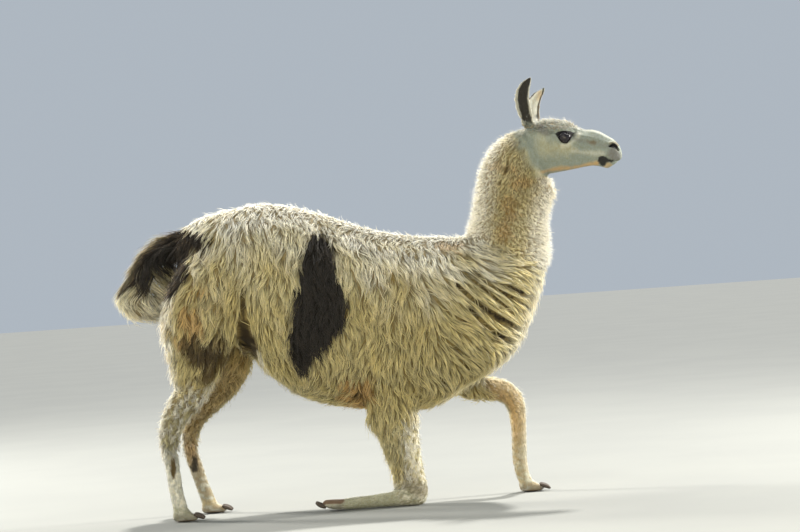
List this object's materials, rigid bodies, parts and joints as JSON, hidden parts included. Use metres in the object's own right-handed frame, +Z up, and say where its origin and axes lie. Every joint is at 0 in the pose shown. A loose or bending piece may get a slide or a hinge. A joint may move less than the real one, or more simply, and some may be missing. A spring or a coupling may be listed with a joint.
{
  "type": "llama",
  "caption": "Life-size still llama with a fleeced body, upright neck and arched tail, kneeling on its right foreleg and stepping forward with its left as it gets up.",
  "frame": {"origin": "on the ground, under the middle of the bounding box", "axes": "+X towards the head, +Y the animal's left, +Z up"},
  "size_m": [1.7356, 0.4988, 1.411],
  "materials": {
    "fleece": "cream woolly locks",
    "dark_fleece": "near-black brown woolly locks",
    "short_hair": "short flat whitish hair",
    "eye": "wet gloss",
    "toenail": "dull dark horn"
  },
  "bodies": {
    "root": {"head": "short_hair", "ear_left": "short_hair", "ear_right": "short_hair", "eye_left": "eye", "eye_right": "eye", "neck": "fleece", "trunk": "fleece", "tail": "dark_fleece", "hindleg_right_thigh": "fleece", "hindleg_right_shank": "fleece", "hindleg_right_cannon": "short_hair", "hindleg_right_foot": "short_hair", "hindleg_right_nail_left": "toenail", "hindleg_right_nail_right": "toenail", "hindleg_left_thigh": "fleece", "hindleg_left_shank": "fleece", "hindleg_left_cannon": "short_hair", "hindleg_left_foot": "short_hair", "hindleg_left_nail_left": "toenail", "hindleg_left_nail_right": "toenail", "foreleg_right_forearm": "fleece", "foreleg_right_cannon": "short_hair", "foreleg_right_foot": "short_hair", "foreleg_right_nail_left": "toenail", "foreleg_right_nail_right": "toenail", "foreleg_left_forearm": "fleece", "foreleg_left_cannon": "short_hair", "foreleg_left_foot": "short_hair", "foreleg_left_nail_left": "toenail", "foreleg_left_nail_right": "toenail"}
  },
  "joints": []
}
